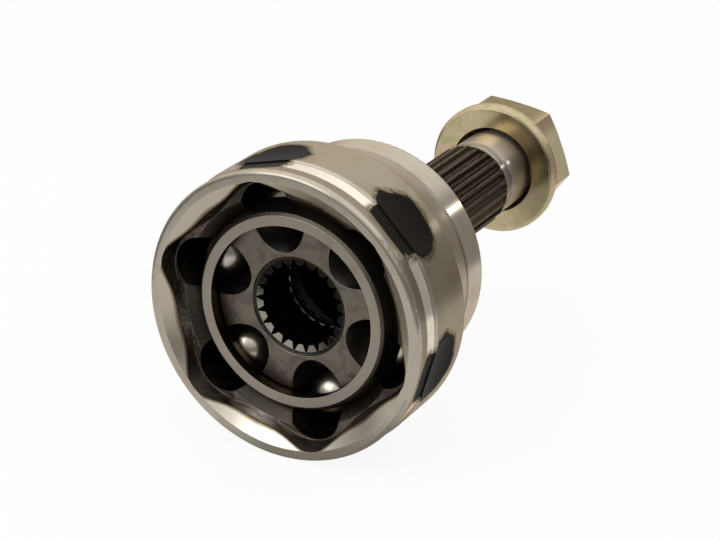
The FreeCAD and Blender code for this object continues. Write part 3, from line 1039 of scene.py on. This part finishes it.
@dataclass(frozen=True)
class BallFinish:
    """Polished ball steel with faint smears of oil."""

    name: str = "polished_ball_steel"
    smears: Marks = Marks(0.30, 5.0, 0.6, 1.5, (0.5, 1.0, 0.8))
    specks: Marks = Marks(3.5, 2.0, 0.5)
    steel: Colour = (0.52, 0.48, 0.42)
    oil: Stain = Stain((0.30, 0.262, 0.215), Step(0.45, 0.75, 0.6))
    # Painted shade: the balls get darker beyond the cage, between cage and bell.
    painted_shade: Stain = Stain((0.085, 0.070, 0.056), Step(31.5, 33.0))
    roughness: float = 0.235
    smear_roughness: Step = Step(0.40, 0.75, 0.10)
    speck_depth: float = 0.0012

    def make(self) -> bpy.types.Material:
        """Build the material.

        Returns:
            The finished material.
        """
        shade = Shade(bpy.data.materials.new(self.name))
        at = shade.place()
        smear, speck = (shade.noise(at.point, each) for each in (self.smears, self.specks))
        colour = shade.stain(smear, self.steel, self.oil)
        # Painted shade on the balls beyond the cage.
        colour = shade.stain(at.radius, colour, self.painted_shade)
        rough = shade.plus(shade.step(smear, self.smear_roughness), self.roughness)
        return shade.metal(colour, rough, shade.bumped(None, (speck, self.speck_depth)))


@dataclass(frozen=True)
class SpringFinish:
    """Blued spring wire with bright streaks along it, painted on as glints."""

    name: str = "blued_spring_wire"
    drawn: Marks = Marks(0.9, 4.0, 0.6, 0.0, (0.4, 3.0, 0.4))
    blued: Colour = (0.075, 0.068, 0.062)
    # Painted light: bright streaks along the wire stand in for glints.
    painted_light: Stain = Stain((0.72, 0.69, 0.63), Step(0.56, 0.76))
    roughness: float = 0.14
    drawn_gloss: float = 0.25
    drawn_depth: float = 0.010

    def make(self) -> bpy.types.Material:
        """Build the material.

        Returns:
            The finished material.
        """
        shade = Shade(bpy.data.materials.new(self.name))
        drawn = shade.noise(shade.place().point, self.drawn)
        # Painted glints along the wire.
        colour = shade.stain(drawn, self.blued, self.painted_light)
        rough = shade.line(drawn, self.drawn_gloss, self.roughness)
        return shade.metal(colour, rough, shade.bumped(None, (drawn, self.drawn_depth)))


@dataclass(frozen=True)
class ZincFinish:
    """Yellow passivated zinc with pink, straw and olive clouds."""

    name: str = "yellow_zinc"
    rings: float = 0.35
    soft_edge: float = 0.35
    cloud: Marks = Marks(0.13, 3.0, 0.5, 1.0)
    other_cloud: Marks = Marks(0.19, 3.0, 0.5, 0.8, (1.0, 0.6, 1.3))
    spots: Marks = Marks(0.42, 4.0, 0.55)
    grain: Marks = Marks(1.9, 3.0, 0.6)
    khaki: Colour = (0.52, 0.445, 0.265)
    pink: Stain = Stain((0.60, 0.445, 0.305), Step(0.42, 0.66))
    olive: Stain = Stain((0.43, 0.395, 0.195), Step(0.48, 0.70, 0.9))
    pale: Stain = Stain((0.68, 0.62, 0.44), Step(0.56, 0.74, 0.55))
    drip: Stain = Stain((0.27, 0.20, 0.080), Step(0.40, 0.26, 0.55))
    # The hexagon's top facets are made darker, in spots.
    darker_hexagon_top: Stain = Stain((0.17, 0.142, 0.078), Step(-1.0, 1.0, 0.95))
    darker_top_height: Step = Step(1.0, 9.0)
    # Painted light: the hexagon's right facets are made lighter.
    painted_light: Stain = Stain((0.95, 0.85, 0.56), Step(1.0, -6.0, 0.75))
    worn: Colour = (0.80, 0.76, 0.59)
    edge_wear: float = 0.7
    shaded_side: Stain = Stain((0.17, 0.142, 0.078), Step(0.0, 0.9, 0.72))
    shaded_angle: float = 0.2
    flange_face: float = 115.3
    flange_back: float = 120.0
    face_front: Step = Step(0.8, 0.3)
    hexagon_start: Step = Step(0.0, 1.5)
    roughness: float = 0.26
    cloud_gloss: float = 0.18
    face_roughness: float = 0.09
    face_gloss: float = 0.12
    ring_depth: float = 0.006
    grain_depth: float = 0.022

    def make(self) -> bpy.types.Material:
        """Build the material.

        Returns:
            The finished material.
        """
        shade = Shade(bpy.data.materials.new(self.name))
        at = shade.place()
        cloud, other, spots, grain = (
            shade.noise(at.point, each) for each in (self.cloud, self.other_cloud, self.spots, self.grain))
        turned = shade.lathe_marks(at, self.rings)
        normal, edge = shade.edges(self.soft_edge)
        colour = shade.stain(cloud, self.khaki, self.pink)
        colour = shade.stain(other, colour, self.olive)
        colour = shade.stain(spots, colour, self.pale)
        colour = shade.stain(spots, colour, self.drip)
        on_hexagon = shade.step(at.y, self.hexagon_start, self.flange_back)
        upward = shade.minus(at.z, at.x)
        # Darker top facets on the hexagon, in spots.
        colour = shade.stain(spots, colour, self.darker_hexagon_top, on_hexagon, shade.step(upward, self.darker_top_height))
        # Painted light on the hexagon's right facets.
        colour = shade.stain(upward, colour, self.painted_light, on_hexagon)
        colour = shade.colour(shade.times(edge, self.edge_wear), colour, self.worn)
        facing = shade.step(at.y, self.face_front, self.flange_face)
        beside = shade.math("COSINE", shade.minus(at.angle, self.shaded_angle))
        colour = shade.stain(beside, colour, self.shaded_side, facing)
        rough = shade.level(facing, shade.line(cloud, self.cloud_gloss, self.roughness),
                            shade.line(cloud, self.face_gloss, self.face_roughness))
        normal = shade.bumped(normal, (turned, self.ring_depth), (grain, self.grain_depth))
        return shade.metal(colour, rough, normal)


def dress(node: bpy.types.Object, material: bpy.types.Material) -> None:
    """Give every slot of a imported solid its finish.

    Args:
        node: the solid's object.
        material: the finish.
    """
    if not node.data.materials:
        node.data.materials.append(material)
    for index in range(len(node.data.materials)):
        node.data.materials[index] = material


@dataclass
class Skin:
    """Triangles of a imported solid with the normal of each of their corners, in millimetres."""

    points: np.ndarray
    corners: np.ndarray
    normals: np.ndarray

    @classmethod
    def of(cls, solid: bpy.types.Object) -> Skin:
        """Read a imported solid.

        Args:
            solid: the solid's object.

        Returns:
            Its skin.
        """
        mesh = solid.data
        points = np.empty(len(mesh.vertices) * 3, np.float32)
        mesh.vertices.foreach_get("co", points)
        corners = np.empty(len(mesh.loops), np.int32)
        mesh.loops.foreach_get("vertex_index", corners)
        normals = np.empty(len(mesh.loops) * 3, np.float32)
        mesh.corner_normals.foreach_get("vector", normals)
        return cls(points.reshape(-1, 3) / MM, corners.reshape(-1, 3), normals.reshape(-1, 3, 3))

    def shown(self, name: str, kept: np.ndarray, steel: bpy.types.Material) -> bpy.types.Object:
        """Put some of the triangles into the scene as a piece.

        Args:
            name: the piece's name.
            kept: which triangles it has.
            steel: its finish.

        Returns:
            The piece, at its place.
        """
        used, faces = np.unique(self.corners[kept], return_inverse=True)
        made = bpy.data.meshes.new(name)
        made.from_pydata((self.points[used] * MM).tolist(), [], faces.reshape(-1, 3).tolist())
        made.normals_split_custom_set(self.normals[kept].reshape(-1, 3).tolist())
        return shown(made, steel)


def shown(mesh: bpy.types.Mesh, finish: bpy.types.Material) -> bpy.types.Object:
    """Put a mesh into the scene as a piece.

    Args:
        mesh: the mesh, already at its place.
        finish: its material.

    Returns:
        The piece.
    """
    mesh.materials.append(finish)
    piece = bpy.data.objects.new(mesh.name, mesh)
    bpy.context.scene.collection.objects.link(piece)
    return piece


@dataclass
class BellHousing:
    """Outer race: turned bell and splined stub, with a real thread on the stub's end."""

    solid: bpy.types.Object
    sizes: BellSizes = field(default_factory=BellSizes)
    thread: ThreadSizes = field(default_factory=ThreadSizes)

    def build(self) -> list[bpy.types.Object]:
        """Build the forging's own steel and its thread.

        Returns:
            The pieces made.
        """
        steel = BellFinish(self.sizes).make()
        forging = self.forging(steel)
        thread = self.stub_thread(steel)
        for piece in (forging, thread):
            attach(piece, "outer_race")
        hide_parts("outer_race")
        return [forging, thread]

    def forging(self, steel: bpy.types.Material) -> bpy.types.Object:
        """The solid's surface without the plain end that the thread takes.

        Args:
            steel: its finish.

        Returns:
            The forging, at its place.
        """
        skin = Skin.of(self.solid)
        middles = skin.points[skin.corners].mean(axis=1)
        radii = np.hypot(middles[:, 0], middles[:, 2])
        start, end = self.thread.start + self.thread.cut_margin, self.thread.end - self.thread.cut_margin
        sleeve = (middles[:, 1] > start) & (middles[:, 1] < end)
        return skin.shown("outer_race_forging", ~(sleeve & (radii > self.thread.core_radius)), steel)

    def stub_thread(self, steel: bpy.types.Material) -> bpy.types.Object:
        """Right-hand thread as a closed sleeve round the stub's core.

        Args:
            steel: its finish.

        Returns:
            The thread, at its place.
        """
        sizes = self.thread
        rows = int((sizes.end - sizes.start) / sizes.pitch * sizes.rows_per_turn) + 1
        along, turn = np.broadcast_arrays(np.linspace(sizes.start, sizes.end, rows)[:, None],
                                          np.linspace(0.0, 1.0, sizes.columns, endpoint=False)[None, :])
        phase = np.mod((along - sizes.start) / sizes.pitch + turn, 1.0)
        flank = np.interp(phase, sizes.profile, (0.0, 0.0, 1.0, 1.0, 0.0))
        cut_in = np.clip((along - sizes.start) / sizes.run_out, 0.0, 1.0)
        radius = sizes.radius - sizes.depth * flank * cut_in
        radius = np.minimum(radius, sizes.end_radius + (sizes.end - along))
        angle = 2.0 * math.pi * turn
        outer = np.stack([radius * np.cos(angle), along, radius * np.sin(angle)], axis=-1)
        core = outer[[0, -1]].copy()
        core[:, :, 0] = sizes.core_radius * np.cos(angle[[0, -1]])
        core[:, :, 2] = sizes.core_radius * np.sin(angle[[0, -1]])
        rings = np.concatenate([outer, core[::-1]], axis=0) * MM
        count = rings.shape[0]
        faces = []
        for row in range(count):
            here, there = row * sizes.columns, (row + 1) % count * sizes.columns
            for column in range(sizes.columns):
                beside = (column + 1) % sizes.columns
                faces.append((here + column, there + column, there + beside, here + beside))
        made = bpy.data.meshes.new("stub_thread")
        made.from_pydata(rings.reshape(-1, 3).tolist(), [], faces)
        made.polygons.foreach_set("use_smooth", [True] * len(made.polygons))
        made.set_sharp_from_angle(angle=math.radians(sizes.sharp_angle))
        return shown(made, steel)


@dataclass
class InnerRaceSet:
    """Inner race and the spring ring in its bore."""

    race: bpy.types.Object
    clip: bpy.types.Object
    bell: BellSizes = field(default_factory=BellSizes)
    sizes: RaceSizes = field(default_factory=RaceSizes)

    def build(self) -> list[bpy.types.Object]:
        """Finish both pieces.

        Returns:
            The pieces dressed.
        """
        dress(self.race, RaceFinish(self.bell, self.sizes).make())
        dress(self.clip, SpringFinish().make())
        return [self.race, self.clip]


@dataclass
class BallCage:
    """Windowed cage and its balls."""

    cage: bpy.types.Object
    balls: list[bpy.types.Object]
    sizes: CageSizes = field(default_factory=CageSizes)

    def build(self) -> list[bpy.types.Object]:
        """Finish the cage and every ball.

        Returns:
            The pieces dressed.
        """
        dress(self.cage, CageFinish(self.sizes).make())
        polished = BallFinish().make()
        for ball in self.balls:
            dress(ball, polished)
        return [self.cage, *self.balls]


@dataclass
class HubNut:
    """Flanged nut on the stub."""

    nut: bpy.types.Object

    def build(self) -> list[bpy.types.Object]:
        """Finish the nut.

        Returns:
            The pieces dressed.
        """
        dress(self.nut, ZincFinish().make())
        return [self.nut]


@dataclass(frozen=True)
class Lamp:
    """One rectangular lamp.

    Args:
        name: what it is.
        place: where it stands, in metres.
        size: its width and height in metres.
        watts: its power.
        tint: its colour.
    """

    name: str
    place: tuple[float, float, float]
    size: tuple[float, float]
    watts: float
    tint: Colour = WHITE


@dataclass(frozen=True)
class Glow:
    """Light from one side of the room.

    Args:
        step: the height over which it grows.
        gain: how much it grows.
        low: its level below that.
    """

    step: Step
    gain: float
    low: float


@dataclass(frozen=True)
class Studio:
    """White floor, pale surroundings and soft lamps.

    Args:
        floor_height: where the floor lies, in metres.
        floor_size: its length and width in metres.
        floor_paint: its own colour.
        glow_share: how much of the floor glows for the camera and for reflections.
        camera_glow: how bright it glows for the camera.
        near_glow: how bright it glows in reflections, near the joint.
        far_glow: the same, away from it.
        near: where near ends, in metres.
        darkest_spot: where the joint shades the floor most, in metres.
        in_shade: how far that reaches, and how dark it is.
        backdrop: light behind the joint.
        backdrop_lean: how the backdrop's height leans across it.
        behind_camera: light behind the camera.
        sides: where one goes over into the other.
        ceiling: light from above.
        plain_level: the surroundings' level as a lamp.
        aim: the point the lamps face, in metres.
        lamps: the lamps.
    """

    floor_height: float
    floor_size: float = 12.0
    floor_paint: Colour = (0.80, 0.80, 0.80)
    glow_share: float = 0.86
    camera_glow: float = 1.06
    near_glow: float = 0.86
    far_glow: float = 0.30
    near: Step = Step(0.19, 0.26)
    darkest_spot: tuple[float, float, float] = (0.012, -0.018, 0.0)
    in_shade: Step = Step(0.045, 0.018, 0.62)
    backdrop: Glow = Glow(Step(0.18, 0.37), 0.62, 0.36)
    backdrop_lean: float = -0.40
    behind_camera: Glow = Glow(Step(0.12, 0.58), 0.66, 0.22)
    sides: Step = Step(-0.25, 0.35)
    ceiling: Step = Step(0.58, 0.72, 0.30)
    plain_level: float = 0.66
    aim: tuple[float, float, float] = (0.0, 0.03, 0.0)
    lamps: tuple[Lamp, ...] = (
        Lamp("front_softbox", (-0.30, -0.58, 0.50), (0.50, 0.34), 1.1),
        Lamp("back_spot", (0.367, 0.610, 0.232), (0.03, 0.03), 0.13),
    )

    def build(self) -> None:
        """Set up the floor, the surroundings and the lamps."""
        self.floor()
        self.surroundings()
        for lamp in self.lamps:
            self.light(lamp)
        bpy.context.scene.view_settings.view_transform = "Standard"

    def rays(self, shade: Shade) -> tuple[Socket, Socket]:
        """Which rays look at the bare background.

        Args:
            shade: the material being made.

        Returns:
            1 for the camera's rays, and 1 for mirrored or refracted ones.
        """
        path = shade.add("ShaderNodeLightPath")
        mirrored = shade.math("MAXIMUM", path.outputs["Is Glossy Ray"], path.outputs["Is Transmission Ray"])
        return path.outputs["Is Camera Ray"], mirrored

    def floor(self) -> None:
        """A white floor that keeps a faint shadow."""
        half = self.floor_size / 2
        mesh = bpy.data.meshes.new("studio_floor")
        outline = [(-half, -half, 0), (half, -half, 0), (half, half, 0), (-half, half, 0)]
        mesh.from_pydata(outline, [], [(0, 1, 2, 3)])
        floor = bpy.data.objects.new("studio_floor", mesh)
        floor.location = (0.0, 0.0, self.floor_height)
        bpy.context.scene.collection.objects.link(floor)
        shade = Shade(bpy.data.materials.new("studio_floor_paint"))
        camera, mirrored = self.rays(shade)
        spot = shade.add("ShaderNodeTexCoord").outputs["Object"]
        away = shade.add("ShaderNodeVectorMath", operation="LENGTH")
        shade.feed(away.inputs[0], spot)
        beside = shade.add("ShaderNodeVectorMath", operation="DISTANCE")
        shade.feed(beside.inputs[0], spot)
        beside.inputs[1].default_value = self.darkest_spot
        far = shade.step(away.outputs["Value"], self.near)
        mirrored_level = shade.less(shade.level(far, self.near_glow, self.far_glow),
                                    shade.step(beside.outputs["Value"], self.in_shade))
        paint = shade.add("ShaderNodeBsdfDiffuse")
        shade.feed(paint.inputs["Color"], self.floor_paint)
        glow = shade.add("ShaderNodeEmission")
        shade.feed(glow.inputs["Color"], WHITE)
        shade.feed(glow.inputs["Strength"], shade.level(camera, mirrored_level, self.camera_glow))
        mixed = shade.add("ShaderNodeMixShader")
        shade.feed(mixed.inputs[0], shade.times(shade.math("MAXIMUM", camera, mirrored), self.glow_share))
        shade.feed(mixed.inputs[1], paint.outputs[0])
        shade.feed(mixed.inputs[2], glow.outputs[0])
        output = shade.add("ShaderNodeOutputMaterial")
        shade.feed(output.inputs["Surface"], mixed.outputs[0])
        mesh.materials.append(shade.owner)
        floor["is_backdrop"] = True

    def surroundings(self) -> None:
        """White for the camera, a soft room for reflections and a plain level for the rest."""
        world = bpy.data.worlds.new("studio_room")
        bpy.context.scene.world = world
        shade = Shade(world)
        camera, mirrored = self.rays(shade)
        parts = shade.add("ShaderNodeSeparateXYZ")
        shade.feed(parts.inputs[0], shade.add("ShaderNodeTexCoord").outputs["Generated"])
        across, along, up = parts.outputs
        leaning = shade.math("MULTIPLY_ADD", across, self.backdrop_lean, up)
        backdrop, behind_camera = (shade.line(shade.step(height, glow.step), glow.gain, glow.low)
                                   for height, glow in ((leaning, self.backdrop), (up, self.behind_camera)))
        room = shade.level(shade.step(along, self.sides), behind_camera, backdrop)
        room = shade.plus(room, shade.step(up, self.ceiling))
        strength = shade.level(camera, shade.level(mirrored, self.plain_level, room), 1.0)
        sky = shade.add("ShaderNodeBackground")
        shade.feed(sky.inputs["Color"], WHITE)
        shade.feed(sky.inputs["Strength"], strength)
        output = shade.add("ShaderNodeOutputWorld")
        shade.feed(output.inputs["Surface"], sky.outputs[0])

    def light(self, lamp: Lamp) -> None:
        """Hang one lamp and turn it to the joint.

        Args:
            lamp: which one.
        """
        data = bpy.data.lights.new(lamp.name, "AREA")
        data.shape = "RECTANGLE"
        data.size, data.size_y = lamp.size
        data.energy = lamp.watts
        data.color = lamp.tint
        hung = bpy.data.objects.new(lamp.name, data)
        hung.location = lamp.place
        hung.visible_camera = False
        hung.rotation_euler = (Vector(self.aim) - Vector(lamp.place)).to_track_quat("-Z", "Y").to_euler()
        bpy.context.scene.collection.objects.link(hung)


@dataclass(frozen=True)
class PhotoView:
    """The camera that took the photograph.

    Args:
        place: where it stands, in metres.
        azimuth: turn round +Z in degrees, 0 looking along +Y.
        elevation: degrees above the horizon.
        lens: focal length in millimetres.
        sensor: sensor width in millimetres.
        clip: nearest and farthest distance shown, in metres.
    """

    place: tuple[float, float, float] = (0.27785, -0.49166, 0.24167)
    azimuth: float = 28.235
    elevation: float = 22.547
    lens: float = 110.0
    sensor: float = 36.0
    clip: tuple[float, float] = (0.02, 50.0)

    def build(self) -> bpy.types.Object:
        """Make the scene's camera.

        Returns:
            The camera.
        """
        turn, tilt = math.radians(self.azimuth), math.radians(self.elevation)
        right = Vector((math.cos(turn), math.sin(turn), 0.0))
        back = Vector((math.sin(turn) * math.cos(tilt), -math.cos(turn) * math.cos(tilt), math.sin(tilt)))
        up = back.cross(right)
        data = bpy.data.cameras.new("photo_view")
        data.lens = self.lens
        data.sensor_width = self.sensor
        data.sensor_fit = "HORIZONTAL"
        data.clip_start, data.clip_end = self.clip
        camera = bpy.data.objects.new("photo_view", data)
        camera.matrix_world = Matrix.Translation(self.place) @ Matrix((right, up, back)).transposed().to_4x4()
        bpy.context.scene.collection.objects.link(camera)
        bpy.context.scene.camera = camera
        return camera


def corners() -> list[list[float]]:
    """The shown object's lowest and highest corner."""
    return [list(corner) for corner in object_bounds()]


def main() -> None:
    """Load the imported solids, build every sub-assembly and set up the studio."""
    logging.basicConfig(level=logging.INFO, format="%(name)s: %(message)s")
    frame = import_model()
    packed = corners()
    nodes = frame["nodes"]
    bell = BellSizes()
    balls = [nodes[f"ball_{index + 1}"] for index in range(bell.ball_count)]
    parts = (
        BellHousing(nodes["outer_race"], bell),
        InnerRaceSet(nodes["inner_race"], nodes["retaining_clip"], bell),
        BallCage(nodes["cage"], balls),
        HubNut(nodes["hub_nut"]),
    )
    for part in parts:
        for piece in part.build():
            log.info("%s: %s, %d faces", type(part).__name__, piece.name, len(piece.data.polygons))
    Studio(floor_height=packed[0][2]).build()
    PhotoView().build()


if __name__ == "__main__":
    main()
